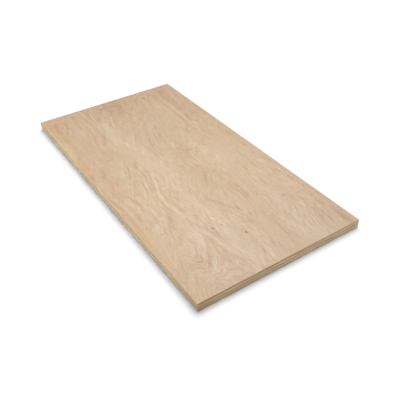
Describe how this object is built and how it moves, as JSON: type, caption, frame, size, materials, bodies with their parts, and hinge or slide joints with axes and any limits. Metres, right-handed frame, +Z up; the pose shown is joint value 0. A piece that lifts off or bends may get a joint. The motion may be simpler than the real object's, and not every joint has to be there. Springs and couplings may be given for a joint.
{
  "type": "plywood sheet",
  "caption": "Flat rectangular plywood sheet of crossed wood veneers with sanded faces and square sawn edges, lying face up.",
  "frame": {"origin": "centre of the underside, on the floor", "axes": "+X along the length and the grain of the face, +Y across the width, +Z up out of the face veneer"},
  "size_m": [0.6, 0.3, 0.015],
  "materials": {
    "face_wood": "sanded, unfinished",
    "crossband_wood": "sawn edge, unfinished",
    "core_wood": "sawn edge, unfinished",
    "back_wood": "sanded, unfinished"
  },
  "bodies": {
    "root": {"face_veneer": "face_wood", "upper_crossband": "crossband_wood", "core_veneer": "core_wood", "lower_crossband": "crossband_wood", "back_veneer": "back_wood"}
  },
  "joints": []
}
